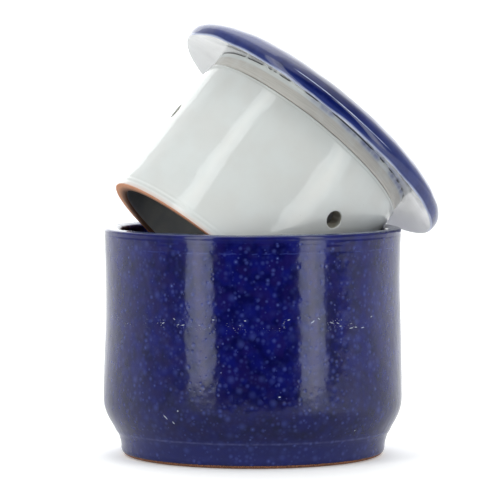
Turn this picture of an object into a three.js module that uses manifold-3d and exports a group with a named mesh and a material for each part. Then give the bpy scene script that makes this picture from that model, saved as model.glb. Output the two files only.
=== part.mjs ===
// A butter crock. The glazed pot holds a little water. The lid is a domed plate with a
// bell fixed under it: butter is packed into the bell, and the bell hangs mouth down in
// the water, which seals it. Here the lid leans in the pot, wedged by its bell.
// Millimetres, +Z up. The origin is the centre of the pot's base.

import * as THREE from 'three';
import { mergeVertices } from 'three/addons/utils/BufferGeometryUtils.js';
import Module from 'manifold-3d';

const wasm = await Module();
wasm.setup();

// ---- Driving dimensions -------------------------------------------------------------

const TURN_STEPS = 64; // facets round every thrown piece

const POT_HEIGHT = 92.3;
const POT_FOOT_RADIUS = 53.5;
const POT_FOOT_ROUND = 3.2; // radius of the foot's lower edge
const POT_FOOT_PULL = 10; // up to here the side leaves the foot upright
const POT_BELLY_RADIUS = 60.6; // widest, just above the foot
const POT_BELLY_HEIGHT = 23;
const POT_BELLY_PULL_DOWN = 14.5; // the belly's upright part, below and above its height
const POT_BELLY_PULL_UP = 42;
const POT_WAIST_RADIUS = 58.9; // pulls the side in slightly above mid-height
const POT_WAIST_HEIGHT = 60;
const POT_RIM_RADIUS = 60;
const POT_WALL = 5.4;
const POT_RIM_CROWN = 0.3; // the lip's flat top is this much higher in the middle
const POT_RIM_OUTER_ROUND = 1;
const POT_RIM_INNER_ROUND = 1.8;
const POT_FLOOR = 8.4; // clay under the inside floor
const POT_CORNER_HEIGHT = 28; // the inside wall starts to turn in here
const POT_CORNER_PULL = 16;
const POT_CORNER_WIDTH = 18; // and meets the floor this far in from the wall
const POT_CORNER_PULL_WIDTH = 6;

const BELL_HEIGHT = 68.9; // mouth to the face that meets the plate
const BELL_MOUTH_RADIUS = 47;
const BELL_SHOULDER_RADIUS = 47.8;
const BELL_SHOULDER_HEIGHT = 58.7;
const BELL_SHOULDER_PULL = 1.5; // the shoulder turns in over this much of its height
const BELL_NECK_RADIUS = 46.9; // trimmed back a little above the shoulder
const BELL_NECK_FOOT_RADIUS = 47.1;
const BELL_NECK_HEIGHT = 62.4; // where the neck starts
const BELL_BORE = 41.5; // inside radius at the mouth
const BELL_DEPTH = 61.2; // mouth to ceiling
const BELL_CEILING_ROUND = 9; // inside corner under the ceiling
const BELL_LIP_OUTER_ROUND = 0.6;
const BELL_LIP_INNER_ROUND = 1.8;
const BELL_OFF_CENTRE = -0.7; // the bell was set a little to one side of the plate's middle

const HOLE_RADIUS = 3.5;
const HOLE_COUNT = 3;
const HOLE_HEIGHT = 37.9; // above the mouth
const HOLE_FIRST_ANGLE = -68.5; // degrees round the bell
const HOLE_STEPS = 20; // facets round a hole
const DRILL_LENGTH = 20; // long enough to pass right through the wall

const PLATE_RADIUS = 63.4;
const PLATE_THICKNESS = 10.1; // underside at the bell to the crown
const PLATE_NOSE_DROP = 0.5; // widest line, below the underside at the bell
const PLATE_EDGE_DROP = 3.3; // the outer edge hangs this far below the bell's joint
const PLATE_EDGE_ROUND = 1.1; // width of the turn at the outer edge's underside
const PLATE_SHOULDER_WIDTH = 28.5; // the crown rolls over this width to the edge
const PLATE_FLAT_WIDTH = 1; // flat underside, out from the neck
const PLATE_INNER_PULL = 6; // the underside's curve leaves the neck level
const PLATE_EDGE_PULL = 5; // and comes to the outer edge from this far in
const PLATE_EDGE_PULL_RISE = 1.2; // and this far above it
const SEAM = 0.3; // open line between the bell and the plate

const LEAN_TILT = 40.9; // degrees from upright
const LEAN_DIRECTION = 20; // degrees from +X towards +Y
const LEAN_MOUTH_OFFSET = -19.36; // lid's axis at the mouth, along the direction of the lean
const LEAN_MOUTH_HEIGHT = 79.27;

// ---- Helpers ------------------------------------------------------------------------

const point = (radius, height) => new THREE.Vector2(radius, height);

// An arc of an ellipse about (radius, height), from one angle to another in degrees.
function arc(radius, height, width, rise, from, to, steps) {
  const radians = THREE.MathUtils.degToRad;
  const curve = new THREE.EllipseCurve(
    radius, height, width, rise, radians(from), radians(to), to < from,
  );
  return curve.getPoints(steps);
}

// A smooth bend from the first point to the last, pulled towards the two between.
function bend(start, pullStart, pullEnd, end, steps) {
  return new THREE.CubicBezierCurve(start, pullStart, pullEnd, end).getPoints(steps);
}

// Turns an outline that starts and ends on the axis into a solid standing on +Z.
function turned(...stretches) {
  const outline = stretches.flat();
  const distinct = outline.filter((p, i) => i === 0 || p.distanceTo(outline[i - 1]) > 1e-4);
  for (const end of [distinct.at(0), distinct.at(-1)]) {
    end.x = 0;
  }
  return new THREE.LatheGeometry(distinct, TURN_STEPS).rotateX(Math.PI / 2);
}

function toManifold(geometry) {
  const bare = geometry.clone();
  bare.deleteAttribute('normal');
  bare.deleteAttribute('uv');
  const merged = mergeVertices(bare, 1e-4);
  return new wasm.Manifold(new wasm.Mesh({
    numProp: 3,
    vertProperties: new Float32Array(merged.attributes.position.array),
    triVerts: new Uint32Array(merged.index.array),
  }));
}

function toGeometry(manifold) {
  const mesh = manifold.getMesh();
  const geometry = new THREE.BufferGeometry();
  geometry.setAttribute('position', new THREE.BufferAttribute(mesh.vertProperties, 3));
  geometry.setIndex(new THREE.BufferAttribute(mesh.triVerts, 1));
  geometry.computeVertexNormals();
  return geometry;
}

function named(name, geometry, color, roughness) {
  const material = new THREE.MeshStandardMaterial({ color, roughness, metalness: 0 });
  const mesh = new THREE.Mesh(geometry, material);
  mesh.name = name;
  return mesh;
}

// ---- The pot: a short foot, a full belly and a flat lip ------------------------------

function crockPot() {
  const boreRadius = POT_RIM_RADIUS - POT_WALL;
  const footEdge = POT_FOOT_RADIUS - POT_FOOT_ROUND;
  const lipTop = POT_HEIGHT - POT_RIM_CROWN;
  const outerRound = POT_RIM_OUTER_ROUND;
  const innerRound = POT_RIM_INNER_ROUND;
  const geometry = turned(
    [point(0, 0)],
    arc(footEdge, POT_FOOT_ROUND, POT_FOOT_ROUND, POT_FOOT_ROUND, -90, 0, 3),
    bend(
      point(POT_FOOT_RADIUS, POT_FOOT_ROUND),
      point(POT_FOOT_RADIUS, POT_FOOT_PULL),
      point(POT_BELLY_RADIUS, POT_BELLY_PULL_DOWN),
      point(POT_BELLY_RADIUS, POT_BELLY_HEIGHT),
      7,
    ),
    bend(
      point(POT_BELLY_RADIUS, POT_BELLY_HEIGHT),
      point(POT_BELLY_RADIUS, POT_BELLY_PULL_UP),
      point(POT_WAIST_RADIUS, POT_WAIST_HEIGHT),
      point(POT_RIM_RADIUS, lipTop - outerRound),
      4,
    ),
    arc(POT_RIM_RADIUS - outerRound, lipTop - outerRound, outerRound, outerRound, 0, 90, 2),
    [point(POT_RIM_RADIUS - POT_WALL / 2, POT_HEIGHT)],
    arc(boreRadius + innerRound, lipTop - innerRound, innerRound, innerRound, 90, 180, 3),
    bend(
      point(boreRadius, POT_CORNER_HEIGHT),
      point(boreRadius, POT_CORNER_PULL),
      point(boreRadius - POT_CORNER_PULL_WIDTH, POT_FLOOR),
      point(boreRadius - POT_CORNER_WIDTH, POT_FLOOR),
      5,
    ),
    [point(0, POT_FLOOR)],
  );
  return named('crock_pot', geometry, 0x23236c, 0.18);
}

// ---- The bell: a thrown cup, mouth down, with three holes through its side -----------

function bellBlank() {
  const outerRound = BELL_LIP_OUTER_ROUND;
  const innerRound = BELL_LIP_INNER_ROUND;
  const cornerRadius = BELL_BORE - BELL_CEILING_ROUND;
  const cornerHeight = BELL_DEPTH - BELL_CEILING_ROUND;
  return turned(
    [point(0, BELL_DEPTH)],
    arc(cornerRadius, cornerHeight, BELL_CEILING_ROUND, BELL_CEILING_ROUND, 90, 0, 4),
    arc(BELL_BORE + innerRound, innerRound, innerRound, innerRound, -180, -90, 2),
    arc(BELL_MOUTH_RADIUS - outerRound, outerRound, outerRound, outerRound, -90, 0, 2),
    bend(
      point(BELL_SHOULDER_RADIUS, BELL_SHOULDER_HEIGHT),
      point(BELL_SHOULDER_RADIUS, BELL_NECK_HEIGHT - BELL_SHOULDER_PULL),
      point(BELL_SHOULDER_RADIUS, BELL_NECK_HEIGHT),
      point(BELL_NECK_FOOT_RADIUS, BELL_NECK_HEIGHT),
      4,
    ),
    [point(BELL_NECK_RADIUS, BELL_HEIGHT), point(0, BELL_HEIGHT)],
  );
}

function drainHole(index) {
  const turn = THREE.MathUtils.degToRad(HOLE_FIRST_ANGLE + (360 / HOLE_COUNT) * index);
  const wallMiddle = (BELL_BORE + BELL_MOUTH_RADIUS) / 2;
  const drill = new THREE.CylinderGeometry(HOLE_RADIUS, HOLE_RADIUS, DRILL_LENGTH, HOLE_STEPS);
  return drill
    .rotateZ(-Math.PI / 2)
    .translate(wallMiddle, 0, HOLE_HEIGHT)
    .rotateZ(turn);
}

function butterBell() {
  let bell = toManifold(bellBlank());
  for (let index = 0; index < HOLE_COUNT; index += 1) {
    bell = bell.subtract(toManifold(drainHole(index)));
  }
  const geometry = toGeometry(bell).translate(BELL_OFF_CENTRE, 0, 0);
  return named('butter_bell', geometry, 0xd6dbd8, 0.22);
}

// ---- The plate: a low dome whose edge hangs a little below the joint with the bell ---

function lidPlate() {
  const underside = BELL_HEIGHT + SEAM;
  const nose = underside - PLATE_NOSE_DROP;
  const edge = underside - PLATE_EDGE_DROP;
  const edgeRadius = PLATE_RADIUS - PLATE_EDGE_ROUND;
  const neckRadius = BELL_NECK_RADIUS - BELL_OFF_CENTRE; // as far as the neck reaches
  const crown = underside + PLATE_THICKNESS;
  const crownRadius = PLATE_RADIUS - PLATE_SHOULDER_WIDTH;
  const geometry = turned(
    [point(0, underside)],
    bend(
      point(neckRadius + PLATE_FLAT_WIDTH, underside),
      point(neckRadius + PLATE_INNER_PULL, underside),
      point(edgeRadius - PLATE_EDGE_PULL, edge + PLATE_EDGE_PULL_RISE),
      point(edgeRadius, edge),
      5,
    ),
    arc(edgeRadius, nose, PLATE_EDGE_ROUND, nose - edge, -90, 0, 4),
    arc(crownRadius, nose, PLATE_SHOULDER_WIDTH, crown - nose, 0, 90, 9),
    [point(0, crown)],
  );
  return named('lid_plate', geometry, 0x2b2f80, 0.18);
}

// ---- Assembly -----------------------------------------------------------------------

// The bell and the plate share one group, set leaning with the bell's mouth in the pot.
function leaningLid() {
  const tilted = new THREE.Group();
  tilted.add(butterBell(), lidPlate());
  tilted.rotation.y = THREE.MathUtils.degToRad(LEAN_TILT);
  tilted.position.set(LEAN_MOUTH_OFFSET, 0, LEAN_MOUTH_HEIGHT);
  const lid = new THREE.Group();
  lid.add(tilted);
  lid.rotation.z = THREE.MathUtils.degToRad(LEAN_DIRECTION);
  return lid;
}

const crock = new THREE.Group();
crock.add(crockPot(), leaningLid());

export default crock;
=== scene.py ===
from math import cos, degrees, pi, radians, sin

import bpy
import numpy as np
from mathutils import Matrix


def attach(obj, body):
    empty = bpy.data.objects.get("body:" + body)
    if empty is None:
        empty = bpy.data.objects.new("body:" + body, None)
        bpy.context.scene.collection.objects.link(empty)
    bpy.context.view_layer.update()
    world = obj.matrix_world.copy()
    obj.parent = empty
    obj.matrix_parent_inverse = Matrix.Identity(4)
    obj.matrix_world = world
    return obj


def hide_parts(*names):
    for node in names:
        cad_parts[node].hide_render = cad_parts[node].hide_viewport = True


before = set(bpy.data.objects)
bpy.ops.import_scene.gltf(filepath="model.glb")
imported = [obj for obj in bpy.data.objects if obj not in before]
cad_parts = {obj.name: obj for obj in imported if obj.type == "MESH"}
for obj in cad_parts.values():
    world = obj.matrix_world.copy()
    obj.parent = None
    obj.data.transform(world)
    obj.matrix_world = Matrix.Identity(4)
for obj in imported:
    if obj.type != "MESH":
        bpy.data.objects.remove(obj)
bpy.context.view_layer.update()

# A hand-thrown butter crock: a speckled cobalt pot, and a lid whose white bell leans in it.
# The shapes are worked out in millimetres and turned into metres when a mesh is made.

MM = 0.001

# ---- Driving dimensions, as in the CAD, in millimetres ---------------------------------

POT_HEIGHT = 92.3
POT_FOOT_RADIUS = 53.5
POT_FOOT_ROUND = 3.2
POT_FOOT_PULL = 10.0
POT_BELLY_RADIUS = 60.6
POT_BELLY_HEIGHT = 23.0
POT_BELLY_PULL_DOWN = 14.5
POT_BELLY_PULL_UP = 42.0
POT_WAIST_RADIUS = 58.9
POT_WAIST_HEIGHT = 60.0
POT_RIM_RADIUS = 60.0
POT_WALL = 5.4
POT_RIM_CROWN = 0.3
POT_RIM_OUTER_ROUND = 1.0
POT_RIM_INNER_ROUND = 1.8
POT_FLOOR = 8.4
POT_CORNER_HEIGHT = 28.0
POT_CORNER_PULL = 16.0
POT_CORNER_WIDTH = 18.0
POT_CORNER_PULL_WIDTH = 6.0

BELL_HEIGHT = 68.9
BELL_MOUTH_RADIUS = 47.0
BELL_SHOULDER_RADIUS = 47.8
BELL_SHOULDER_HEIGHT = 58.7
BELL_SHOULDER_PULL = 1.5
BELL_NECK_RADIUS = 46.9
BELL_NECK_FOOT_RADIUS = 47.1
BELL_NECK_HEIGHT = 62.4
BELL_BORE = 41.5
BELL_DEPTH = 61.2
BELL_CEILING_ROUND = 9.0
BELL_LIP_OUTER_ROUND = 0.6
BELL_LIP_INNER_ROUND = 1.8
BELL_OFF_CENTRE = -0.7

HOLE_RADIUS = 3.5
HOLE_COUNT = 3
HOLE_HEIGHT = 37.9
HOLE_FIRST_ANGLE = -68.5

PLATE_RADIUS = 63.4
PLATE_THICKNESS = 10.1
PLATE_NOSE_DROP = 0.5
PLATE_EDGE_DROP = 3.3
PLATE_EDGE_ROUND = 1.1
PLATE_SHOULDER_WIDTH = 28.5
PLATE_FLAT_WIDTH = 1.0
PLATE_INNER_PULL = 6.0
PLATE_EDGE_PULL = 5.0
PLATE_EDGE_PULL_RISE = 1.2
SEAM = 0.3

# ---- Finer than the CAD, in millimetres ------------------------------------------------

POT_FOOT_RING = 4.0  # width of the flat ring that the pot stands on
POT_FOOT_HOLLOW = 0.9  # the base inside the ring is this much higher

NECK_FOOT_TAPER = 0.03
NECK_FOOT_HEIGHT = 1.2
NECK_TOP_BAND = 1.4
NECK_EDGE_ROUND = 0.3

TURN_STEPS = 440  # columns round the pot and the plate
BELL_STEPS = 360  # one to a degree, which bored() counts on
PLATE_LOWER_ROWS = 60  # the plate's underside, and its edge's turn to just past the lowest part

WALL_PITCH = 0.7  # between the rings up the bell's straight wall
HOLE_COLUMNS = 7  # half the width, in quads, of the block that a hole replaces
HOLE_ROWS = 8
HOLE_LIP = 0.5
HOLE_INNER_LIP = 0.5
HOLE_BEAD = 0.06  # glaze stands this proud round a hole

# Shallow rings left by the potter's fingers: height, how far they stand out, and their width.
POT_RINGS = [
    (89.9, -0.09, 0.35), (88.9, 0.04, 0.5), (85.3, -0.04, 0.4), (87.2, 0.02, 0.5),
    (10.2, 0.10, 0.9), (8.2, -0.12, 0.8),
]
BELL_RINGS = [
    (2.2, -0.07, 0.35), (3.0, 0.06, 0.4), (3.9, -0.06, 0.35),
    (61.2, -0.10, 0.3), (61.7, 0.06, 0.25), (62.5, -0.16, 0.22), (63.2, 0.05, 0.4),
]


# ---- Outlines --------------------------------------------------------------------------

def line(start, end, steps):
    t = np.linspace(0, 1, steps + 1)[:, None]
    return np.array(start) * (1 - t) + np.array(end) * t


def arc(radius, height, width, rise, start, end, steps):
    t = np.radians(np.linspace(start, end, steps + 1))
    return np.stack([radius + width * np.cos(t), height + rise * np.sin(t)], 1)


def bend(start, pull_start, pull_end, end, steps, low=0.0, high=1.0):
    """A smooth bend between two points, or the share of it from low to high."""
    t = np.linspace(low, high, steps + 1)[:, None]
    a, b, c, d = (np.array(p) for p in (start, pull_start, pull_end, end))
    return a * (1 - t) ** 3 + 3 * b * t * (1 - t) ** 2 + 3 * c * t ** 2 * (1 - t) + d * t ** 3


def joined(*stretches):
    points = np.concatenate(stretches)
    keep = np.ones(len(points), bool)
    keep[1:] = np.linalg.norm(np.diff(points, axis=0), axis=1) > 1e-4
    return points[keep]


def smooth_step(value, low, high):
    t = np.clip((value - low) / (high - low), 0, 1)
    return t * t * (3 - 2 * t)


def bump(value, middle, width):
    return np.exp(-((value - middle) / width) ** 2)


def thrown_rings(height, marks):
    return sum(proud * bump(height, middle, width) for middle, proud, width in marks)


def ripple(points, wavelength, seed, waves=36):
    """A smooth random field of unit strength over points."""
    draw = np.random.default_rng(seed)
    heading = draw.normal(size=(waves, 3))
    heading /= np.linalg.norm(heading, axis=1)[:, None]
    number = 2 * pi / (wavelength * draw.uniform(0.7, 1.4, waves))
    phase = draw.uniform(0, 2 * pi, waves)
    total = np.zeros(points.shape[:-1])
    for k in range(waves):
        total += np.cos(points @ (heading[k] * number[k]) + phase[k])
    return total * np.sqrt(2 / waves)


# ---- Turned meshes ---------------------------------------------------------------------

class Turned:
    """Rings of points round an axis, with quads between them and fans at both ends."""

    def __init__(self, outline, steps, first_angle=0.0):
        inner = outline[1:-1]
        slope = np.gradient(outline, axis=0)[1:-1]
        across = np.stack([slope[:, 1], -slope[:, 0]], 1)
        across /= np.linalg.norm(across, axis=1)[:, None]
        self.angle = radians(first_angle) + np.arange(steps) * 2 * pi / steps
        out = np.stack([np.cos(self.angle), np.sin(self.angle), np.zeros(steps)], 1)
        up = np.array([0.0, 0.0, 1.0])
        self.radius, self.height = inner[:, 0], inner[:, 1]
        self.points = inner[:, None, :1] * out + inner[:, None, 1:] * up
        self.normals = across[:, None, :1] * out + across[:, None, 1:] * up
        self.rows, self.steps = len(inner), steps
        self.ends = [(0, 0, outline[0, 1]), (0, 0, outline[-1, 1])]
        self.extra_points, self.extra_values, self.extra_faces = [], [], []
        self.skipped = set()

    def push(self, amount):
        """Moves every ring point along its normal."""
        self.points += self.normals * amount[..., None]

    def index(self, row, step):
        return row * self.steps + step % self.steps

    def add(self, point, **values):
        self.extra_points.append(point)
        self.extra_values.append(values)
        return self.rows * self.steps + 2 + len(self.extra_points) - 1

    def mesh(self, name, masks, place):
        """masks holds a value for each ring point; place turns local points into the frame's."""
        ring = self.points.reshape(-1, 3)
        local = np.concatenate([ring, np.array(self.ends, float)])
        if self.extra_points:
            local = np.concatenate([local, np.array(self.extra_points, float)])
        faces = []
        for i in range(self.rows - 1):
            for j in range(self.steps):
                if (i, j) not in self.skipped:
                    faces.append((self.index(i, j), self.index(i, j + 1),
                                  self.index(i + 1, j + 1), self.index(i + 1, j)))
        first, last = self.rows * self.steps, self.rows * self.steps + 1
        for j in range(self.steps):
            faces.append((first, self.index(0, j + 1), self.index(0, j)))
            faces.append((self.index(self.rows - 1, j), self.index(self.rows - 1, j + 1), last))
        faces += self.extra_faces
        mesh = bpy.data.meshes.new(name)
        mesh.from_pydata((place(local) * MM).tolist(), [], faces)
        mesh.validate()
        mesh.shade_smooth()
        thrown = mesh.attributes.new("thrown", "FLOAT_VECTOR", "POINT")
        thrown.data.foreach_set("vector", (local * MM).astype(np.float32).ravel())
        for key, value in masks.items():
            full = np.zeros(len(local), np.float32)
            full[:ring.shape[0]] = value.ravel()
            full[ring.shape[0]:ring.shape[0] + 2] = value[0, 0], value[-1, 0]
            full[ring.shape[0] + 2:] = [values.get(key, 0.0) for values in self.extra_values]
            mesh.attributes.new(key, "FLOAT", "POINT").data.foreach_set("value", full)
        piece = bpy.data.objects.new(name, mesh)
        bpy.context.scene.collection.objects.link(piece)
        return piece


# ---- Where the lid leans ---------------------------------------------------------------

def node_points(name):
    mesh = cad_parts[name].data
    flat = np.zeros(len(mesh.vertices) * 3)
    mesh.vertices.foreach_get("co", flat)
    return np.unique(np.round(flat.reshape(-1, 3), 7), axis=0) / MM


def lean():
    """The lid's own axes and the centre of the bell's mouth, from the CAD's points."""
    plate, bell = node_points("lid_plate"), node_points("butter_bell")
    _, directions = np.linalg.eigh(np.cov(plate.T))
    axis = directions[:, 0]  # the plate is thinnest along its own axis
    axis *= np.sign(axis[2])
    side = np.cross([0.0, 0.0, 1.0], axis)
    side /= np.linalg.norm(side)
    forward = np.cross(side, axis)
    centre = plate.mean(axis=0)
    mouth = centre + axis * ((bell @ axis).min() - centre @ axis)
    return np.stack([forward, side, axis]), mouth


lid_axes, lid_mouth = lean()


def as_thrown(local):
    return local


def as_leaning(local):
    return local @ lid_axes + lid_mouth


def as_leaning_bell(local):
    return as_leaning(local + np.array([BELL_OFF_CENTRE, 0.0, 0.0]))


# ---- Materials -------------------------------------------------------------------------

class Shade:
    """A short way to write the nodes of a material or of the world."""

    def __init__(self, owner):
        owner.use_nodes = True
        self.owner = owner
        self.tree = owner.node_tree
        self.tree.nodes.clear()

    def node(self, kind, inputs=None, **settings):
        made = self.tree.nodes.new("ShaderNode" + kind)
        for key, value in settings.items():
            setattr(made, key, value)
        for key, value in (inputs or {}).items():
            self.feed(made.inputs[key], value)
        return made

    def feed(self, socket, value):
        if isinstance(value, bpy.types.NodeSocket):
            self.tree.links.new(value, socket)
        elif isinstance(value, tuple) and len(value) == 3 and socket.type == "RGBA":
            socket.default_value = (*value, 1.0)
        else:
            socket.default_value = value

    def attribute(self, name, output="Vector"):
        return self.node("Attribute", attribute_name=name).outputs[output]

    def math(self, operation, a, b=0.0):
        return self.node("Math", {0: a, 1: b}, operation=operation).outputs[0]

    def times(self, a, b):
        return self.math("MULTIPLY", a, b)

    def plus(self, a, b):
        return self.math("ADD", a, b)

    def minus(self, a, b):
        return self.math("SUBTRACT", a, b)

    def larger(self, a, b):
        return self.math("MAXIMUM", a, b)

    def millimetres(self, metres):
        return self.times(metres, 1 / MM)

    def vector(self, operation, a, b=(0.0, 0.0, 0.0), output=0):
        return self.node("VectorMath", {0: a, 1: b}, operation=operation).outputs[output]

    def step(self, value, low, high, at_low=0.0, at_high=1.0):
        """Goes smoothly from at_low to at_high as value goes from low to high."""
        return self.node(
            "MapRange",
            {"Value": value, "From Min": low, "From Max": high, "To Min": at_low, "To Max": at_high},
            interpolation_type="SMOOTHSTEP",
        ).outputs[0]

    def band(self, value, low, low_full, high_full, high):
        """1 from low_full to high_full, falling smoothly to 0 at low and at high."""
        return self.times(self.step(value, low, low_full), self.step(value, high, high_full))

    def noise(self, place, size, detail=2.0, roughness=0.5, seed=0.0):
        """Noise from 0 to 1 whose blobs are about size millimetres across."""
        shifted = self.vector("ADD", place, (seed, seed * 0.7, -seed))
        return self.node(
            "TexNoise",
            {"Vector": shifted, "Scale": 1 / (size * MM), "Detail": detail, "Roughness": roughness},
        ).outputs["Fac"]

    def dots(self, place, spacing, size, seed):
        """Soft round spots of varied strength. Each fades out at 0.3 to 0.9 of size, in
        millimetres, from its middle."""
        shifted = self.vector("ADD", place, (seed, -seed, seed * 0.6))
        cells = self.node("TexVoronoi", {"Vector": shifted, "Scale": 1 / (spacing * MM)})
        luck = self.node("SeparateColor", {0: cells.outputs["Color"]})
        radius = self.step(luck.outputs[0], 0.0, 1.0, 0.3 * size / spacing, 0.9 * size / spacing)
        spot = self.math("DIVIDE", cells.outputs["Distance"], self.plus(radius, 0.02))
        spot = self.math("POWER", self.step(spot, 1.0, 0.0), 1.25)
        return self.times(spot, self.step(luck.outputs[1], 0.2, 0.9, 0.25, 0.9))

    def mix(self, share, a, b):
        """Goes from colour a to colour b. Sockets 6 and 7 and output 2 are the colour ones."""
        made = self.node("Mix", data_type="RGBA")
        self.feed(made.inputs[0], share)
        self.feed(made.inputs[6], a)
        self.feed(made.inputs[7], b)
        return made.outputs[2]

    def finish(self, colour, roughness, height, relief, **constants):
        """relief is how many millimetres a change of 1 in height stands for."""
        bumped = self.node("Bump", {"Height": height, "Distance": relief * MM, "Strength": 1.0})
        shader = self.node("BsdfPrincipled", {
            "Base Color": colour, "Roughness": roughness, "Normal": bumped.outputs[0],
        })
        for key, value in constants.items():
            shader.inputs[key.replace("_", " ")].default_value = value
        out = self.node("OutputMaterial")
        self.tree.links.new(shader.outputs[0], out.inputs[0])
        return self.owner


def linear(red, green, blue):
    """A colour picked on the 0 to 255 screen scale."""
    return tuple(((v / 255 + 0.055) / 1.055) ** 2.4 if v > 10 else v / 255 / 12.92
                 for v in (red, green, blue))


COBALT_DEEP = linear(7, 9, 70)
COBALT = linear(15, 20, 106)
COBALT_PURPLE = linear(28, 20, 88)
COBALT_PALE = linear(66, 78, 156)
COBALT_BRIGHT = linear(112, 138, 200)
# Pale thin glaze on the rim's top, partly a painted highlight.
COBALT_THIN_AND_HIGHLIGHT = linear(88, 99, 128)
# A painted dark reflection along the front of the plate's edge.
PLATE_DARK_REFLECTION = linear(10, 26, 84)
PLATE_BLUE = linear(52, 66, 128)
LAVENDER = linear(184, 194, 226)
COBALT_SHEEN = (0.86, 0.89, 1.0, 1.0)
CLAY = linear(222, 148, 106)
# Dark clay: grain on the pot's foot, and painted shade at the inner edge of the bell's mouth.
CLAY_DARK_AND_SHADE = linear(92, 62, 46)
CLAY_PINK = linear(244, 188, 154)
WHITE_GLAZE = linear(224, 228, 227)
WHITE_WARM = linear(221, 223, 221)
# Painted shade in the holes.
BORE_SHADED_GREY = linear(186, 186, 174)
# Painted shade in the open joint.
GAP_PAINTED_SHADE = linear(34, 32, 40)
# The neck's grey, partly painted shade under the plate.
NECK_GREY_AND_SHADE = linear(220, 217, 211)
INSIDE_GREY = linear(214, 214, 212)
INSIDE_COOL = linear(200, 202, 204)
# The next two are painted shade low on the belly and painted light on the foot.
COBALT_BELLY_SHADE = linear(5, 7, 54)
COBALT_FOOT_LIGHT = linear(38, 44, 116)
COBALT_SMOOTH = linear(36, 42, 112)
CHIP_PALE = linear(196, 206, 228)
GLAZE_END = linear(40, 28, 34)
LEDGE_PALE = linear(96, 102, 158)
PINHOLE = linear(120, 112, 100)
NECK_SHADE = linear(200, 197, 191)
GROOVE_BROWN = linear(112, 98, 86)
RUN_BLUE = linear(116, 126, 176)
BLUSH = linear(226, 204, 194)
FRINGE = linear(236, 196, 176)
UNDERSIDE_WHITE = linear(242, 242, 245)
# A pale line on the plate's nose, partly a painted highlight.
CREST_PALE_HIGHLIGHT = linear(176, 188, 220)

# Heights on the pot between which its glaze changes, in millimetres.
# The belly band holds painted shade, and the foot band holds painted light.
BELLY_SHADE_BAND = (46.0, 24.0)
FOOT_LIGHT_BAND = (13.0, 9.0)
LEDGE_BAND = (9.5, 10.0, 10.2, 10.8)
SCUFF_BAND = (54.0, 56.5, 57.5, 60.2)
PALE_LINE_BAND = (85.0, 85.4, 85.45, 85.8)
SMOOTH_BAND = (89.3, 89.9)

# Heights above the bell's mouth, and distances from its axis, in millimetres.
BLUSH_HEIGHT = (2.2, 0.5)
BLUSH_RADIUS = (45.5, 46.5)
SECOND_LINE_BAND = (60.95, 61.15, 61.2, 61.4)
NECK_START = (62.1, 62.7)
GROOVE_BAND = (62.15, 62.4, 62.5, 62.7)
NECK_TOP = (66.7, 67.5)
JOINT_HEIGHT = (68.68, 68.84)

# Small chips and scratches in the pot's glaze: degrees round the pot, height, length, width,
# and the slope of the scratch in degrees.
POT_CHIPS = [
    (-126.0, 57.2, 1.1, 0.35, 25), (-121.0, 59.0, 0.9, 0.30, -30), (-117.2, 56.8, 1.2, 0.30, 10),
    (-105.0, 59.2, 0.8, 0.35, 0), (-76.5, 59.2, 0.9, 0.35, 15), (-67.0, 58.2, 1.6, 0.45, 35),
    (-64.5, 59.3, 1.0, 0.35, -40), (-59.0, 57.5, 1.5, 0.25, -12), (-56.2, 57.2, 1.2, 0.25, -20),
    (-55.0, 56.0, 0.9, 0.25, 5), (-49.8, 55.0, 1.7, 0.30, 4), (-47.5, 55.2, 1.2, 0.28, -5),
    (-43.8, 54.8, 1.5, 0.30, 6), (-38.5, 58.8, 1.0, 0.30, 20), (-93.0, 59.0, 0.7, 0.30, 0),
    (-124.8, 20.2, 1.9, 0.42, -42), (-121.5, 18.2, 1.1, 0.42, -50), (-119.2, 23.0, 0.6, 0.5, 0),
    (-80.2, 29.2, 0.8, 0.4, 0), (-46.0, 14.0, 0.8, 0.4, 10), (62.0, 58.0, 1.3, 0.3, 10),
    (97.0, 57.6, 1.0, 0.3, -15), (141.0, 59.1, 1.2, 0.3, 5), (12.0, 56.6, 0.9, 0.3, 30),
]
CHIP_DEPTH = 3.0


def chips(shade, place):
    """How strongly a point lies in one of the listed scratches."""
    total = None
    for turn, height, length, width, slope in POT_CHIPS:
        turn, slope = radians(turn), radians(slope)
        out = np.array([cos(turn), sin(turn), 0.0])
        level = np.array([-sin(turn), cos(turn), 0.0])
        up = np.array([0.0, 0.0, 1.0])
        along = level * cos(slope) + up * sin(slope)
        across = up * cos(slope) - level * sin(slope)
        centre = out * POT_RIM_RADIUS + up * height
        offset = shade.vector("SUBTRACT", place, tuple(centre * MM))
        run = shade.vector("DOT_PRODUCT", offset, tuple(along / (length * MM / 2)), 1)
        rise = shade.vector("DOT_PRODUCT", offset, tuple(across / (width * MM / 2)), 1)
        depth = shade.vector("DOT_PRODUCT", offset, tuple(out / (CHIP_DEPTH * MM)), 1)
        both = shade.node("CombineXYZ", {0: run, 1: rise, 2: depth}).outputs[0]
        mark = shade.step(shade.vector("LENGTH", both, output=1), 1.5, 0.8)
        total = mark if total is None else shade.larger(total, mark)
    return total


def cobalt(shade, place):
    """The mottled blue glaze. Returns its colour, and how strong the speckles on it are."""
    cloud = shade.noise(place, 6.0, detail=2.5, seed=0.31)
    mottle = shade.noise(place, 3.0, detail=1.0, seed=0.77)
    purple = shade.noise(place, 5.0, detail=1.5, seed=1.41)
    colour = shade.mix(shade.step(cloud, 0.3, 0.7), COBALT_DEEP, COBALT)
    colour = shade.mix(shade.step(mottle, 0.5, 0.8, 0.0, 0.14), colour, COBALT_PALE)
    colour = shade.mix(shade.step(purple, 0.48, 0.66, 0.0, 0.6), colour, COBALT_PURPLE)
    small = shade.dots(place, spacing=2.1, size=1.6, seed=2.1)
    large = shade.dots(place, spacing=4.2, size=2.8, seed=3.7)
    return colour, shade.larger(small, shade.times(large, 0.7))


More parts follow.
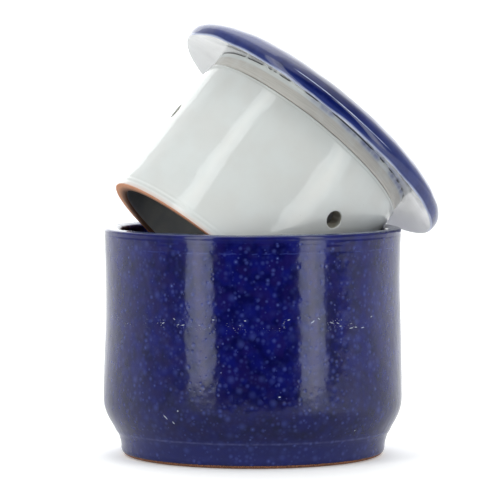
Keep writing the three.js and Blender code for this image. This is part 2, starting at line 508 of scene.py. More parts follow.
def scuffs(shade, place, height):
    """A band of fine rubbed marks round the pot, in patches."""
    marks = shade.noise(shade.vector("MULTIPLY", place, (1.0, 1.0, 2.0)), 0.9, detail=1.0, seed=15.1)
    marks = shade.times(shade.step(marks, 0.66, 0.71), shade.band(height, *SCUFF_BAND))
    patches = shade.step(shade.noise(place, 9.0, detail=1.0, seed=16.4), 0.5, 0.58)
    return shade.times(marks, patches)


def pot_material():
    shade = Shade(bpy.data.materials.new("speckled_cobalt_glaze"))
    place = shade.attribute("thrown")
    height = shade.millimetres(shade.node("SeparateXYZ", {0: place}).outputs[2])
    colour, dotted = cobalt(shade, place)
    waver = shade.noise(place, 3.0, detail=3.0, seed=4.0)
    # The glaze is darkened low on the belly, which is painted shade, and paler on the foot, which is
    # painted light reflected from the floor.
    colour = shade.mix(shade.step(height, *BELLY_SHADE_BAND, 0.0, 0.35), colour, COBALT_BELLY_SHADE)
    colour = shade.mix(shade.step(height, *FOOT_LIGHT_BAND, 0.0, 0.55), colour, COBALT_FOOT_LIGHT)
    # Just under the rim the glaze has run smooth, and a broken pale line runs round below it.
    level = shade.plus(height, shade.times(waver, 0.9))
    smooth = shade.step(level, *SMOOTH_BAND)
    dotted = shade.times(dotted, shade.minus(1.0, smooth))
    colour = shade.mix(shade.times(smooth, 0.3), colour, COBALT_SMOOTH)
    broken = shade.step(shade.noise(place, 4.0, detail=2.0, seed=5.2), 0.42, 0.6)
    pale_line = shade.times(shade.band(level, *PALE_LINE_BAND), broken)
    pale = shade.larger(dotted, shade.times(pale_line, 0.5))
    colour = shade.mix(shade.times(pale, 0.8), colour, COBALT_PALE)
    favoured = shade.noise(place, 5.0, detail=0.0, seed=12.7)
    bright = shade.times(shade.step(dotted, 0.7, 1.0), shade.step(favoured, 0.45, 0.7))
    colour = shade.mix(bright, colour, COBALT_BRIGHT)
    chipped = shade.larger(chips(shade, place), scuffs(shade, place, height))
    colour = shade.mix(shade.times(chipped, 0.8), colour, CHIP_PALE)
    # The glaze is thin and pale over the rim's flat top, and its pale colour is partly a painted
    # highlight from above.
    crown = shade.step(shade.attribute("crown", "Fac"), 0.3, 0.8)
    crown = shade.times(crown, shade.step(waver, 0.25, 0.6, 0.45, 0.85))
    colour = shade.mix(crown, colour, COBALT_THIN_AND_HIGHLIGHT)
    # The foot's underside is bare clay, with a dark edge where the glaze stops.
    bare = shade.plus(shade.attribute("bare", "Fac"), shade.times(waver, 0.25))
    foot = shade.step(bare, 0.56, 0.64)
    grain = shade.noise(place, 0.5, detail=3.0, roughness=0.7, seed=6.6)
    clay = shade.mix(shade.step(grain, 0.35, 0.7), CLAY_DARK_AND_SHADE, CLAY)
    colour = shade.mix(foot, colour, clay)
    glaze_end = shade.band(bare, 0.48, 0.56, 0.6, 0.72)
    colour = shade.mix(shade.times(glaze_end, 0.7), colour, GLAZE_END)
    # A pale line runs along the ledge above the foot.
    ledge = shade.times(shade.band(height, *LEDGE_BAND), shade.step(waver, 0.3, 0.7, 0.1, 0.45))
    colour = shade.mix(ledge, colour, LEDGE_PALE)
    roughness = shade.step(foot, 0.0, 1.0, 0.12, 0.85)
    roughness = shade.plus(roughness, shade.step(dotted, 0.0, 1.0, 0.0, 0.10))
    peel = shade.noise(place, 2.5, detail=0.5, seed=8.1)
    relief = shade.minus(shade.times(peel, 0.4), shade.times(dotted, 0.7))
    relief = shade.minus(relief, shade.times(chipped, 1.2))
    relief = shade.plus(relief, shade.times(grain, shade.times(foot, 1.5)))
    return shade.finish(colour, roughness, relief, 0.065, IOR=1.5, Specular_Tint=COBALT_SHEEN)


def white_glaze(shade, place):
    tone = shade.noise(place, 14.0, detail=3.0, seed=2.2)
    colour = shade.mix(shade.step(tone, 0.3, 0.7), WHITE_GLAZE, WHITE_WARM)
    pinholes = shade.dots(place, spacing=5.0, size=0.35, seed=9.3)
    return shade.mix(shade.times(pinholes, 0.25), colour, PINHOLE)


def bell_material():
    shade = Shade(bpy.data.materials.new("white_bell_glaze"))
    place = shade.attribute("thrown")
    parts = shade.node("SeparateXYZ", {0: place})
    height = shade.millimetres(parts.outputs[2])
    flat = shade.node("CombineXYZ", {0: parts.outputs[0], 1: parts.outputs[1]}).outputs[0]
    radius = shade.millimetres(shade.vector("LENGTH", flat, output=1))
    colour = white_glaze(shade, place)
    waver = shade.noise(place, 3.5, detail=3.0, seed=1.7)
    # The trimmed neck is greyer, partly painted shade under the plate, and brushed round.
    stretched = shade.vector("MULTIPLY", place, (0.03, 0.03, 1.0))
    brushed = shade.noise(stretched, 0.34, detail=3.0, roughness=0.65, seed=0.9)
    patch = shade.noise(place, 7.0, detail=3.0, seed=3.4)
    level = shade.plus(height, shade.times(waver, 0.3))
    neck = shade.step(level, *NECK_START)
    neck_colour = shade.mix(shade.step(brushed, 0.25, 0.75), NECK_SHADE, NECK_GREY_AND_SHADE)
    neck_colour = shade.mix(shade.step(patch, 0.5, 0.75, 0.0, 0.6), neck_colour, WHITE_WARM)
    neck_colour = shade.mix(shade.step(level, *NECK_TOP), neck_colour, WHITE_GLAZE)
    colour = shade.mix(neck, colour, neck_colour)
    # A brown line is painted along the groove under the neck, and a fainter one along the line below
    # it.
    groove_line = shade.larger(shade.times(shade.band(height, *GROOVE_BAND), 0.8),
                           shade.times(shade.band(height, *SECOND_LINE_BAND), 0.2))
    groove_line = shade.times(groove_line, shade.attribute("groove_line", "Fac"))
    colour = shade.mix(groove_line, colour, GROOVE_BROWN)
    # Cobalt has run a little way down from the joint.
    streaks = shade.noise(shade.vector("MULTIPLY", place, (1.0, 1.0, 0.15)), 2.0, detail=2.0, seed=7.7)
    run = shade.times(shade.attribute("run", "Fac"), shade.step(streaks, 0.3, 0.65, 0.5, 1.0))
    colour = shade.mix(run, colour, RUN_BLUE)
    # Where the joint is open, the gap is painted dark: painted shade in the crevice.
    gap = shade.times(shade.step(height, *JOINT_HEIGHT), shade.attribute("open", "Fac"))
    colour = shade.mix(gap, colour, GAP_PAINTED_SHADE)
    # Inside, a greyer glaze; in the holes, greyer still, which is painted shade.
    inside = shade.plus(shade.attribute("inside", "Fac"), shade.times(waver, 0.3))
    inside_colour = shade.mix(shade.step(patch, 0.3, 0.7), INSIDE_GREY, INSIDE_COOL)
    colour = shade.mix(shade.step(inside, 0.6, 0.7), colour, inside_colour)
    colour = shade.mix(shade.attribute("bore", "Fac"), colour, BORE_SHADED_GREY)
    # The glaze thins to a warm blush at the lip.
    blush = shade.times(shade.step(level, *BLUSH_HEIGHT), shade.step(radius, *BLUSH_RADIUS))
    colour = shade.mix(shade.times(blush, 0.65), colour, BLUSH)
    # Round the mouth the clay is bare, and darker towards the inside, which is painted shade.
    bare = shade.plus(shade.attribute("bare", "Fac"), shade.times(waver, 0.3))
    clay_share = shade.step(bare, 0.6, 0.7)
    grain = shade.noise(place, 0.45, detail=3.0, roughness=0.7, seed=6.1)
    clay = shade.mix(shade.step(grain, 0.3, 0.75), CLAY, CLAY_PINK)
    inner_edge_shade = shade.step(radius, BELL_BORE + 4.2, BELL_BORE + 1.2)
    clay = shade.mix(shade.times(inner_edge_shade, 0.85), clay, CLAY_DARK_AND_SHADE)
    colour = shade.mix(clay_share, colour, clay)
    fringe = shade.band(bare, 0.46, 0.58, 0.6, 0.72)
    colour = shade.mix(shade.times(fringe, 0.55), colour, FRINGE)
    roughness = shade.step(clay_share, 0.0, 1.0, 0.07, 0.85)
    roughness = shade.plus(roughness, shade.times(neck, 0.22))
    peel = shade.noise(place, 4.0, detail=1.5, seed=8.8)
    relief = shade.plus(peel, shade.times(brushed, shade.times(neck, 0.8)))
    relief = shade.plus(relief, shade.times(grain, shade.times(clay_share, 2.0)))
    return shade.finish(colour, roughness, relief, 0.03, IOR=1.5)


def plate_material():
    shade = Shade(bpy.data.materials.new("plate_glaze"))
    place = shade.attribute("thrown")
    waver = shade.noise(place, 4.0, detail=3.0, seed=1.9)
    speckled, dotted = cobalt(shade, place)
    cloud = shade.noise(place, 5.0, detail=3.0, seed=5.5)
    # Along the front of the edge the blue is darkened: a painted dark reflection.
    blue = shade.mix(shade.attribute("core", "Fac"), PLATE_BLUE, PLATE_DARK_REFLECTION)
    blue = shade.mix(shade.step(cloud, 0.35, 0.75, 0.15, 0.5), blue, speckled)
    blue = shade.mix(shade.times(dotted, 0.2), blue, COBALT_PALE)
    # The underside is white, hazed with blue near the joint, and turns blue towards the edge.
    white = shade.mix(0.75, white_glaze(shade, place), UNDERSIDE_WHITE)
    white = shade.mix(shade.times(shade.attribute("haze", "Fac"), 0.6), white, LAVENDER)
    glazed = shade.plus(shade.attribute("blue", "Fac"), shade.times(shade.minus(waver, 0.5), 0.15))
    colour = shade.mix(shade.step(glazed, 0.02, 0.3), white, LAVENDER)
    colour = shade.mix(shade.step(glazed, 0.3, 0.8), colour, blue)
    # A pale line over the nose, partly where the glaze breaks and partly a painted highlight.
    crest = shade.step(shade.math("ABSOLUTE", shade.attribute("crest", "Fac")), 0.24, 0.1)
    crest = shade.times(crest, shade.attribute("crested", "Fac"))
    crest = shade.times(crest, shade.step(waver, 0.3, 0.55, 0.6, 1.0))
    colour = shade.mix(crest, colour, CREST_PALE_HIGHLIGHT)
    # Painted shade where the joint is open.
    colour = shade.mix(shade.attribute("gap", "Fac"), colour, GAP_PAINTED_SHADE)
    peel = shade.noise(place, 4.5, detail=1.5, seed=8.3)
    roughness = shade.step(dotted, 0.0, 1.0, 0.07, 0.16)
    return shade.finish(colour, roughness, peel, 0.03, IOR=1.5)


# ---- The pot ---------------------------------------------------------------------------

def make_pot():
    bore = POT_RIM_RADIUS - POT_WALL
    foot_edge = POT_FOOT_RADIUS - POT_FOOT_ROUND
    lip_top = POT_HEIGHT - POT_RIM_CROWN
    outer, inner = POT_RIM_OUTER_ROUND, POT_RIM_INNER_ROUND
    middle = POT_RIM_RADIUS - POT_WALL / 2
    wall = ((POT_BELLY_RADIUS, POT_BELLY_HEIGHT), (POT_BELLY_RADIUS, POT_BELLY_PULL_UP),
            (POT_WAIST_RADIUS, POT_WAIST_HEIGHT), (POT_RIM_RADIUS, lip_top - outer))
    ring, hollow = foot_edge - POT_FOOT_RING, POT_FOOT_HOLLOW
    outline = joined(
        line((0, hollow), (ring - 2.5, hollow), 7),
        bend((ring - 2.5, hollow), (ring - 1.5, hollow), (ring - 1, 0), (ring, 0), 4),
        line((ring, 0), (foot_edge, 0), 2),
        arc(foot_edge, POT_FOOT_ROUND, POT_FOOT_ROUND, POT_FOOT_ROUND, -90, 0, 12),
        bend((POT_FOOT_RADIUS, POT_FOOT_ROUND), (POT_FOOT_RADIUS, POT_FOOT_PULL),
             (POT_BELLY_RADIUS, POT_BELLY_PULL_DOWN), (POT_BELLY_RADIUS, POT_BELLY_HEIGHT), 32),
        bend(*wall, steps=58, high=0.88),
        bend(*wall, steps=26, low=0.88),
        arc(POT_RIM_RADIUS - outer, lip_top - outer, outer, outer, 0, 90, 9),
        bend((POT_RIM_RADIUS - outer, lip_top), (middle + 1, lip_top + 0.2),
             (middle + 0.6, POT_HEIGHT), (middle, POT_HEIGHT), 5),
        bend((middle, POT_HEIGHT), (middle - 0.4, POT_HEIGHT),
             (bore + inner + 0.3, lip_top + 0.1), (bore + inner, lip_top), 4),
        arc(bore + inner, lip_top - inner, inner, inner, 90, 180, 9),
        line((bore, lip_top - inner), (bore, POT_CORNER_HEIGHT), 22),
        bend((bore, POT_CORNER_HEIGHT), (bore, POT_CORNER_PULL),
             (bore - POT_CORNER_PULL_WIDTH, POT_FLOOR), (bore - POT_CORNER_WIDTH, POT_FLOOR), 14),
        line((bore - POT_CORNER_WIDTH, POT_FLOOR), (0, POT_FLOOR), 8),
    )
    pot = Turned(outline, TURN_STEPS)
    points = pot.points
    height = points[..., 2]
    outside = (np.gradient(pot.height) > 0)[:, None] & (height > POT_FOOT_ROUND)
    # Swells fade out at the foot, so that the pot stands flat. The orange peel doesn't.
    near_foot = smooth_step(height, 1.0, 8.0)
    swell = 0.10 * ripple(points, 45.0, 11) + 0.015 * ripple(points, 14.0, 12)
    peel = 0.010 * ripple(points, 4.5, 13)
    shape = np.clip(swell, -0.25, 0.25) * near_foot + peel
    pot.push(shape + np.where(outside, thrown_rings(height, POT_RINGS), 0.0))
    foot = smooth_step(height, 2.4, 0.2) * (pot.radius < POT_FOOT_RADIUS + 1)[:, None]
    foot[pot.height > 7] = 0
    crown = smooth_step(height, lip_top - 0.35, lip_top)
    piece = pot.mesh("crock_pot_turned", {"bare": foot, "crown": crown}, as_thrown)
    piece.data.materials.append(pot_material())
    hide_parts("crock_pot")
    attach(piece, "crock")


# ---- The bell --------------------------------------------------------------------------

def wall_rows():
    """Heights of the rings up the bell's straight wall, with one ring at the holes' middle."""
    below = int((HOLE_HEIGHT - BELL_LIP_INNER_ROUND - 2) / WALL_PITCH)
    above = int((BELL_DEPTH - BELL_CEILING_ROUND - HOLE_HEIGHT - 2) / WALL_PITCH)
    return HOLE_HEIGHT + WALL_PITCH * np.arange(-below, above + 1)


def outer_radius(height):
    share = (height - BELL_LIP_OUTER_ROUND) / (BELL_SHOULDER_HEIGHT - BELL_LIP_OUTER_ROUND)
    return BELL_MOUTH_RADIUS + (BELL_SHOULDER_RADIUS - BELL_MOUTH_RADIUS) * share


def bored(bell, turn, outer_row, inner_row):
    """Swaps a block of the outer and inner wall for a hole with rounded lips."""
    column = round(degrees(turn) - HOLE_FIRST_ANGLE) % 360
    out = np.array([cos(turn), sin(turn), 0.0])
    side = np.array([-sin(turn), cos(turn), 0.0])
    up = np.array([0.0, 0.0, 1.0])

    def border(row, direction):
        """Ring points round the block, anticlockwise seen from outside."""
        walk = [(-HOLE_ROWS, c) for c in range(-HOLE_COLUMNS, HOLE_COLUMNS)]
        walk += [(r, HOLE_COLUMNS) for r in range(-HOLE_ROWS, HOLE_ROWS)]
        walk += [(HOLE_ROWS, c) for c in range(HOLE_COLUMNS, -HOLE_COLUMNS, -1)]
        walk += [(r, -HOLE_COLUMNS) for r in range(HOLE_ROWS, -HOLE_ROWS, -1)]
        return [(row + direction * r, column + c) for r, c in walk]

    def skip(row, direction):
        for r in range(-HOLE_ROWS, HOLE_ROWS):
            for c in range(-HOLE_COLUMNS, HOLE_COLUMNS):
                lower = row + r if direction > 0 else row - r - 1
                bell.skipped.add((lower, (column + c) % bell.steps))

    def seen(spots):
        """Where ring points lie across and along the hole, from its middle."""
        places = np.array([bell.points[r, c % bell.steps] for r, c in spots])
        return np.stack([places @ side, places[:, 2] - HOLE_HEIGHT], 1), places @ out

    def ring_of(points, bare, bore):
        return [bell.add(point, bare=bare[k], bore=bore) for k, point in enumerate(points)]

    outer_spots, inner_spots = border(outer_row, 1), border(inner_row, -1)
    skip(outer_row, 1)
    skip(inner_row, -1)
    outer_flat, outer_depth = seen(outer_spots)
    inner_flat, inner_depth = seen(inner_spots)
    course = np.arctan2(outer_flat[:, 1], outer_flat[:, 0])
    circle = np.stack([np.cos(course), np.sin(course)], 1)
    low_side = smooth_step(circle @ np.array([-0.2, -0.98]), 0.5, 0.95)

    def outer_surface(flat):
        radius = outer_radius(flat[:, 1] + HOLE_HEIGHT)
        return np.sqrt(radius ** 2 - flat[:, 0] ** 2)

    def inner_surface(flat):
        return np.sqrt(BELL_BORE ** 2 - flat[:, 0] ** 2)

    def stack(flat, depth):
        return (out * depth[:, None] + side * flat[:, :1]
                + up * (flat[:, 1:] + HOLE_HEIGHT))

    # Each ring of points, from the outer wall through the hole to the inner wall, with how
    # bare its clay is and how far it is in the hole.
    glazed = np.zeros(len(circle))
    rings = []
    start = circle * (HOLE_RADIUS + HOLE_LIP + 0.5)
    outer_error = outer_depth - outer_surface(outer_flat)
    for k in range(1, 5):
        share = k / 4
        flat = outer_flat * (1 - share) + start * share
        depth = outer_surface(flat) + outer_error * (1 - share) + HOLE_BEAD * share ** 3
        rings.append((stack(flat, depth), glazed, 0.0))
    for k in range(0, 9):
        curve = k / 8 * pi / 2
        flat = circle * (HOLE_RADIUS + HOLE_LIP * (1 - sin(curve)))
        depth = outer_surface(flat) - HOLE_LIP * (1 - cos(curve)) + HOLE_BEAD * (1 - k / 8)
        rings.append((stack(flat, depth), glazed, smooth_step(k, 4, 8)))
    flat = circle * HOLE_RADIUS
    top, bottom = outer_surface(flat) - HOLE_LIP, inner_surface(flat) + HOLE_INNER_LIP
    for k in range(1, 7):
        share = k / 6
        bare = 0.75 * low_side * smooth_step(share, 0, 0.3)
        rings.append((stack(flat, top * (1 - share) + bottom * share), bare, 1.0))
    for k in range(1, 5):
        curve = k / 4 * pi / 2
        flat = circle * (HOLE_RADIUS + HOLE_INNER_LIP * (1 - cos(curve)))
        depth = inner_surface(flat) + HOLE_INNER_LIP * (1 - sin(curve))
        rings.append((stack(flat, depth), glazed, 0.6))
    inner_start = circle * (HOLE_RADIUS + HOLE_INNER_LIP)
    inner_error = inner_depth - inner_surface(inner_flat)
    for k in range(1, 4):
        share = k / 4
        flat = inner_start * (1 - share) + inner_flat * share
        rings.append((stack(flat, inner_surface(flat) + inner_error * share), glazed, 0.0))
    loops = [[bell.index(r, c) for r, c in outer_spots]]
    loops += [ring_of(*ring) for ring in rings]
    loops.append([bell.index(r, c) for r, c in inner_spots])
    count = len(circle)
    for upper, lower in zip(loops, loops[1:]):
        for k in range(count):
            n = (k + 1) % count
            bell.extra_faces.append((upper[k], upper[n], lower[n], lower[k]))


# Where the joint between the bell and the plate is open, in degrees round the lid.
JOINT_OPEN = [
    (-191.4, -161.8), (-159.4, -148.0), (-143.6, -142.4), (-140.2, -139.0), (-136.3, -130.1),
    (-120.3, -112.7), (-103.5, -76.3), (-70.0, -66.0), (-60.5, -57.0), (-50.0, -47.5),
    (-40.5, -37.5), (-30.6, -14.9), (-6.0, 9.0), (14.0, 33.0), (37.0, 41.0), (52.0, 75.0),
    (83.0, 88.0), (101.0, 126.0), (131.0, 133.0), (142.0, 157.0),
]


def open_joint(round_lid):
    """How open the joint is at each angle, in degrees round the lid."""
    share = np.zeros_like(round_lid)
    for start, end in JOINT_OPEN:
        middle, half = (start + end) / 2, (end - start) / 2
        away = np.abs((round_lid - middle + 180) % 360 - 180)
        share = np.maximum(share, smooth_step(away, half + 0.6, half - 0.4))
    return share


def make_bell():
    lip_width = (BELL_MOUTH_RADIUS - BELL_BORE) / 2
    corner_radius = BELL_BORE - BELL_CEILING_ROUND
    corner_height = BELL_DEPTH - BELL_CEILING_ROUND
    rows = wall_rows()
    inner_wall = np.stack([np.full(len(rows), BELL_BORE), rows], 1)[::-1]
    outer_wall = np.stack([outer_radius(rows), rows], 1)
    low_end, high_end = rows[0] - WALL_PITCH / 2, rows[-1] + WALL_PITCH
    outer, inner = BELL_LIP_OUTER_ROUND, BELL_LIP_INNER_ROUND
    neck_foot = (BELL_NECK_FOOT_RADIUS, BELL_NECK_HEIGHT)
    neck_low = (BELL_NECK_FOOT_RADIUS - NECK_FOOT_TAPER, BELL_NECK_HEIGHT + NECK_FOOT_HEIGHT)
    neck_high = (BELL_NECK_RADIUS, BELL_HEIGHT - NECK_TOP_BAND)
    edge = NECK_EDGE_ROUND
    outline = joined(
        line((0, BELL_DEPTH), (corner_radius, BELL_DEPTH), 8),
        arc(corner_radius, corner_height, BELL_CEILING_ROUND, BELL_CEILING_ROUND, 90, 0, 12),
        inner_wall,
        line((BELL_BORE, rows[0] - WALL_PITCH), (BELL_BORE, inner), 4),
        arc(BELL_BORE + inner, inner, inner, inner, -180, -90, 10),
        line((BELL_BORE + inner, 0), (BELL_MOUTH_RADIUS - outer, 0), 8),
        arc(BELL_MOUTH_RADIUS - outer, outer, outer, outer, -90, 0, 9),
        line((BELL_MOUTH_RADIUS, outer), (outer_radius(low_end), low_end), 8),
        outer_wall,
        line((outer_radius(high_end), high_end), (BELL_SHOULDER_RADIUS, BELL_SHOULDER_HEIGHT), 10),
        bend((BELL_SHOULDER_RADIUS, BELL_SHOULDER_HEIGHT),
             (BELL_SHOULDER_RADIUS, BELL_NECK_HEIGHT - BELL_SHOULDER_PULL),
             (BELL_SHOULDER_RADIUS, BELL_NECK_HEIGHT), neck_foot, 22),
        line(neck_foot, neck_low, 7),
        line(neck_low, neck_high, 12),
        line(neck_high, (BELL_NECK_RADIUS, BELL_HEIGHT - edge), 7),
        arc(BELL_NECK_RADIUS - edge, BELL_HEIGHT - edge, edge, edge, 0, 90, 4),
        line((BELL_NECK_RADIUS - edge, BELL_HEIGHT), (0, BELL_HEIGHT), 8),
    )
    bell = Turned(outline, BELL_STEPS, HOLE_FIRST_ANGLE)
    points = bell.points
    height = points[..., 2]
    direction = np.gradient(bell.height)
    outside = (bell.radius > BELL_BORE + lip_width) & (direction > 1e-6)
    swell = 0.09 * ripple(points, 40.0, 21) + 0.03 * ripple(points, 13.0, 22)
    swell *= smooth_step(height, 1.0, 6.0) * smooth_step(height, 67.6, 61.0)
    peel = 0.010 * ripple(points, 6.0, 23)
    turn = bell.angle[None, :] + np.zeros_like(height)
    rings = thrown_rings(height, BELL_RINGS)
    # The joint under the plate is open in dashes; between them a fillet of glaze closes it.
    round_lid = np.degrees(turn)
    open_share = open_joint(round_lid)
    fillet = bump(height, BELL_HEIGHT, 0.9) * (1 - open_share)
    brush = 0.02 * np.sin(height * 2 * pi / 0.8 + 2 * ripple(points, 60.0, 24))
    brush *= smooth_step(height, 62.8, 63.4)
    bell.push(swell + peel + np.where(outside[:, None], rings + brush + 0.35 * fillet, 0.0))
    top = (bell.height >= BELL_HEIGHT - edge)[:, None]
    bell.points[..., 2] += np.where(top, 0.27 * (1 - open_share) - 0.02, 0.0)
    mouth = np.where(bell.radius[:, None] > BELL_BORE + lip_width,
                     smooth_step(height, 0.45, 0.03), smooth_step(height, 1.3, 0.5))
    inside = ~outside & (bell.radius < BELL_BORE + 1.5) & (bell.height < BELL_DEPTH + 0.01)
    inside = inside[:, None] * smooth_step(height, 0.3, 1.0)
    # The brown line in the groove is painted, and this varies its strength round the lid.
    groove_line = 0.35 + 0.65 * smooth_step(ripple(points, 50.0, 26), -1.2, 0.5)
    away = np.abs((round_lid + 72 + 180) % 360 - 180)
    run = bump(height, 68.2, 1.15) * smooth_step(away, 52, 30)
    run *= smooth_step(ripple(points, 16.0, 27), -1.5, 0.6) * outside[:, None]
    hole_rows = [k for k in range(bell.rows) if abs(bell.height[k] - HOLE_HEIGHT) < 1e-6]
    inner_row, outer_row = hole_rows
    for k in range(HOLE_COUNT):
        bored(bell, radians(HOLE_FIRST_ANGLE + k * 360 / HOLE_COUNT), outer_row, inner_row)
    masks = {"bare": mouth, "inside": inside, "groove_line": groove_line, "run": run * 0.85,
             "open": open_share, "bore": np.zeros_like(height)}
    piece = bell.mesh("butter_bell_turned", masks, as_leaning_bell)
    piece.data.materials.append(bell_material())
    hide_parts("butter_bell")
    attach(piece, "lid")


# ---- The plate -------------------------------------------------------------------------

def make_plate():
    underside = BELL_HEIGHT + SEAM
    nose = underside - PLATE_NOSE_DROP
    edge = underside - PLATE_EDGE_DROP
    edge_radius = PLATE_RADIUS - PLATE_EDGE_ROUND
    crown = underside + PLATE_THICKNESS
    crown_radius = PLATE_RADIUS - PLATE_SHOULDER_WIDTH
    flat_edge = BELL_NECK_RADIUS + PLATE_FLAT_WIDTH
    pull = BELL_NECK_RADIUS + PLATE_INNER_PULL
    outline = joined(
        line((0, underside), (flat_edge, underside), 10),
        bend((flat_edge, underside), (pull, underside),
             (edge_radius - PLATE_EDGE_PULL, edge + PLATE_EDGE_PULL_RISE), (edge_radius, edge), 36),
        arc(edge_radius, nose, PLATE_EDGE_ROUND, nose - edge, -90, 0, 22),
        arc(crown_radius, nose, PLATE_SHOULDER_WIDTH, crown - nose, 0, 30, 34),
        arc(crown_radius, nose, PLATE_SHOULDER_WIDTH, crown - nose, 30, 90, 42),
        line((crown_radius, crown), (0, crown), 20),
    )
    plate = Turned(outline, TURN_STEPS)
    points = plate.points
    # The plate moves only outside the joint and on top, so that the joint stays flat.
    far_out = smooth_step(np.hypot(points[..., 0], points[..., 1]), 48.5, 53.0)
    on_top = smooth_step(points[..., 2], underside - 1.5, underside + 2.0)
    on_top *= (np.arange(plate.rows) > PLATE_LOWER_ROWS)[:, None]
    move = 0.09 * ripple(points, 42.0, 31) + 0.03 * ripple(points, 13.0, 32)
    move += 0.010 * ripple(points, 6.0, 33)
    radius = np.hypot(points[..., 0], points[..., 1])
    spiral = 0.05 * np.sin(radius * 2 * pi / 6.5) * smooth_step(radius, 56, 40)
    plate.push(move * np.maximum(far_out, on_top) + np.where(on_top > 0.5, spiral, 0.0))
    edge_row = int(np.argmin(plate.height))
    stretch = np.hypot(np.diff(plate.radius), np.diff(plate.height))
    along = np.concatenate([[0.0], np.cumsum(stretch)])
    along = (along - along[edge_row])[:, None]
    start = -0.45 + 0.15 * ripple(points, 18.0, 34)
    around = (np.degrees(np.arctan2(points[..., 1], points[..., 0])) + 360) % 360 - 360
    crest = points[..., 2] - (underside + 1.15 - 0.6 * smooth_step(around, -118, -84))
    neck_away = np.hypot(points[..., 0] - BELL_OFF_CENTRE, points[..., 1])
    below = smooth_step(points[..., 2], underside + 0.8, underside + 0.4)
    # core marks the painted dark reflection along the front of the edge.
    core = bump(around, -112.0, 30.0) * smooth_step(along, 1.5, 3.0)
    masks = {
        "blue": smooth_step(along, start, start + 2.5),
        "core": core * smooth_step(radius, 48.0, 58.0),
        "crest": crest,
        # The pale line, partly a painted highlight, is kept to the front of the plate.
        "crested": smooth_step(around, -127, -122) * smooth_step(around, -79, -85),
        # Painted shade in the open joint under the plate.
        "gap": smooth_step(neck_away, 47.0, 46.8) * open_joint(around) * below,
        "haze": smooth_step(neck_away, 52.0, 48.5) * below
        * smooth_step(around, -135, -110) * smooth_step(around, -40, -60),
    }
    piece = plate.mesh("lid_plate_turned", masks, as_leaning)
    piece.data.materials.append(plate_material())
    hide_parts("lid_plate")
    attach(piece, "lid")


# ---- Camera, floor and light -----------------------------------------------------------

CAMERA_PLACE = (-0.0012, -1.3972, 0.1719)
CAMERA_TILT = 86.35  # degrees up from straight down
CAMERA_LENS = 248.7


def make_camera():
    data = bpy.data.cameras.new("camera")
    data.sensor_width = 36.0
    data.lens = CAMERA_LENS
    data.clip_start = 0.05
    camera = bpy.data.objects.new("camera", data)
    camera.location = CAMERA_PLACE
    camera.rotation_euler = (radians(CAMERA_TILT), 0.0, 0.0)
    bpy.context.scene.collection.objects.link(camera)
    bpy.context.scene.camera = camera


FLOOR_FRONT = -0.5
FLOOR_SIDE = 3.0
FLOOR_BACK = 4.0
FLOOR_LEVEL = -0.1 * MM  # just under the pot, so that the two surfaces don't coincide

# The grey that the pottery sees changes between these places, in metres.
TABLE_BEHIND = (0.45, 0.05)
TABLE_RIGHT = (0.06, 0.2)
TABLE_NEAR = (0.02, -0.12)
TABLE_END = (-0.31, -0.335)

# The two soft boxes, in metres, and how bright they are.
STRIP_DISTANCE = 0.46
STRIP_HEIGHTS = (0.76, 0.5)
STRIP_WIDTHS = (0.178, 0.16)
STRIP_BOTTOM = 0.004
CORE_WIDTH = 0.06
FLANK_RADIANCE = 2.55
CORE_RADIANCE = 3.4
FLANK_COLOUR = (0.95, 1.0, 1.0)
CORE_COLOUR = (1.0, 0.98, 0.93)
STRIP_TURNS = (-38.6, 44.5)  # degrees round from the camera's side


def grey(level):
    return (level, level, level)


def make_floor():
    mesh = bpy.data.meshes.new("floor")
    corners = [(-FLOOR_SIDE, FLOOR_FRONT, FLOOR_LEVEL), (FLOOR_SIDE, FLOOR_FRONT, FLOOR_LEVEL),
               (FLOOR_SIDE, FLOOR_BACK, FLOOR_LEVEL), (-FLOOR_SIDE, FLOOR_BACK, FLOOR_LEVEL)]
    mesh.from_pydata(corners, [], [(0, 1, 2, 3)])
    floor = bpy.data.objects.new("floor", mesh)
    bpy.context.scene.collection.objects.link(floor)
    shade = Shade(bpy.data.materials.new("white_table"))
    place = shade.node("TexCoord").outputs["Object"]
    grain = shade.noise(place, 2.0, seed=0.5)
    parts = shade.node("SeparateXYZ", {0: place})
    right, ahead = parts.outputs[0], parts.outputs[1]
    # The camera sees a white table; the pottery sees a greyer one that ends in the dark.
    greyed = shade.mix(shade.step(ahead, *TABLE_BEHIND), grey(0.97), grey(0.72))
    near = shade.mix(shade.step(right, *TABLE_RIGHT), grey(0.42), grey(0.85))
    greyed = shade.mix(shade.step(ahead, *TABLE_NEAR), greyed, near)
    greyed = shade.mix(shade.step(ahead, *TABLE_END), greyed, grey(0.04))
    white = shade.mix(grain, grey(0.97), grey(0.99))
    seen = shade.node("LightPath").outputs["Is Camera Ray"]
    colour = shade.mix(seen, greyed, white)
    floor.data.materials.append(shade.finish(colour, 0.9, grain, 0.01, IOR=1.3))
    table = shade.tree.nodes["Principled BSDF"].inputs
    table["Emission Color"].default_value = (1.0, 1.0, 1.0, 1.0)
    shade.feed(table["Emission Strength"], shade.step(seen, 0.0, 1.0, 0.07, 0.2))


def make_panel(name, turn, aside, width, height, radiance, colour):
    """A tall light that faces the pot from the camera's side."""
    data = bpy.data.lights.new(name, "AREA")
    data.shape = "RECTANGLE"
    data.size, data.size_y = width, height
    data.energy = radiance * pi * width * height
    data.color = colour
    light = bpy.data.objects.new(name, data)
    turn = radians(turn)
    light.location = (STRIP_DISTANCE * sin(turn) + aside * cos(turn),
                      -STRIP_DISTANCE * cos(turn) + aside * sin(turn), STRIP_BOTTOM + height / 2)
    light.rotation_euler = (pi / 2, 0.0, turn)
    light.visible_camera = False
    bpy.context.scene.collection.objects.link(light)


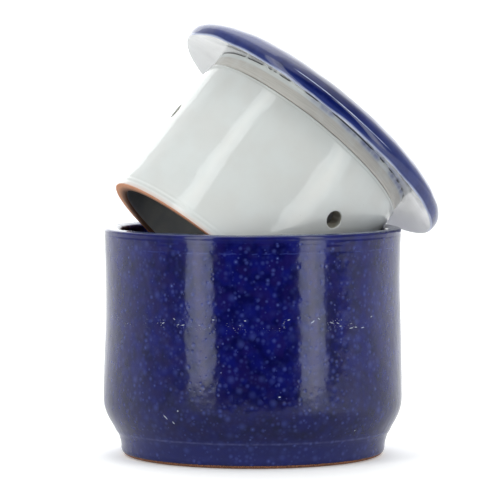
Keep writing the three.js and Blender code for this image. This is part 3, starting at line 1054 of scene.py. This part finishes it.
def make_strip(name, turn, width, height):
    """A soft box: a bright warm core between two cooler flanks."""
    flank = (width - CORE_WIDTH) / 2
    aside = (CORE_WIDTH + flank) / 2
    make_panel(name + "_left", turn, -aside, flank, height, FLANK_RADIANCE, FLANK_COLOUR)
    make_panel(name + "_core", turn, 0.0, CORE_WIDTH, height, CORE_RADIANCE, CORE_COLOUR)
    make_panel(name + "_right", turn, aside, flank, height, FLANK_RADIANCE, FLANK_COLOUR)


# How bright the studio's walls are against the cosine of the turn from the camera's side.
SIDE_LIGHT = [
    (0.17, 0.31), (-0.07, 0.36), (-0.36, 0.42), (-0.50, 0.48), (-0.643, 0.72), (-0.788, 1.0),
    (-0.815, 1.0), (-0.829, 0.6), (-0.843, 1.8), (-1.0, 2.0),
]


# The world is dark towards the camera, except high up, and lighter overhead.
DARK_FRONT = (0.80, 0.87)
DARK_UP = (0.82, 0.54)
DARKNESS = 0.95
TOP_LIGHT_UP = (0.64, 0.9)


def side_light(shade, front):
    """The walls' light. The ramp holds half of it, so that its values stay within 1."""
    ramp = shade.node("ValToRGB", {0: shade.times(shade.minus(1.0, front), 0.5)})
    stops = ramp.color_ramp.elements
    for number, (cosine, radiance) in enumerate(SIDE_LIGHT):
        place = (1 - cosine) / 2
        stop = stops[number] if number < 2 else stops.new(place)
        stop.position = place
        stop.color = (*grey(radiance / 2), 1.0)
    return shade.times(ramp.outputs[0], 2.0)


def make_world():
    world = bpy.data.worlds.new("studio")
    bpy.context.scene.world = world
    shade = Shade(world)
    toward = shade.node("TexCoord").outputs["Generated"]
    parts = shade.node("SeparateXYZ", {0: toward})
    level = shade.node("CombineXYZ", {0: parts.outputs[0], 1: parts.outputs[1]}).outputs[0]
    front = shade.vector("DOT_PRODUCT", shade.vector("NORMALIZE", level), (0.0, -1.0, 0.0), 1)
    up = parts.outputs[2]
    light = side_light(shade, front)
    dark = shade.times(shade.step(front, *DARK_FRONT), shade.step(up, *DARK_UP))
    light = shade.times(light, shade.minus(1.0, shade.times(dark, DARKNESS)))
    light = shade.plus(light, shade.step(up, *TOP_LIGHT_UP))
    seen = shade.larger(light, shade.node("LightPath").outputs["Is Camera Ray"])
    background = shade.node("Background", {"Color": (0.985, 1.0, 1.0), "Strength": seen})
    out = shade.node("OutputWorld")
    shade.tree.links.new(background.outputs[0], out.inputs[0])


make_camera()
make_pot()
make_bell()
make_plate()
make_floor()
make_world()
for number, (turn, tall, wide) in enumerate(zip(STRIP_TURNS, STRIP_HEIGHTS, STRIP_WIDTHS)):
    make_strip(f"strip_{number}", turn, wide, tall)

scene = bpy.context.scene
scene.view_settings.view_transform = "Standard"
scene.view_settings.look = "None"
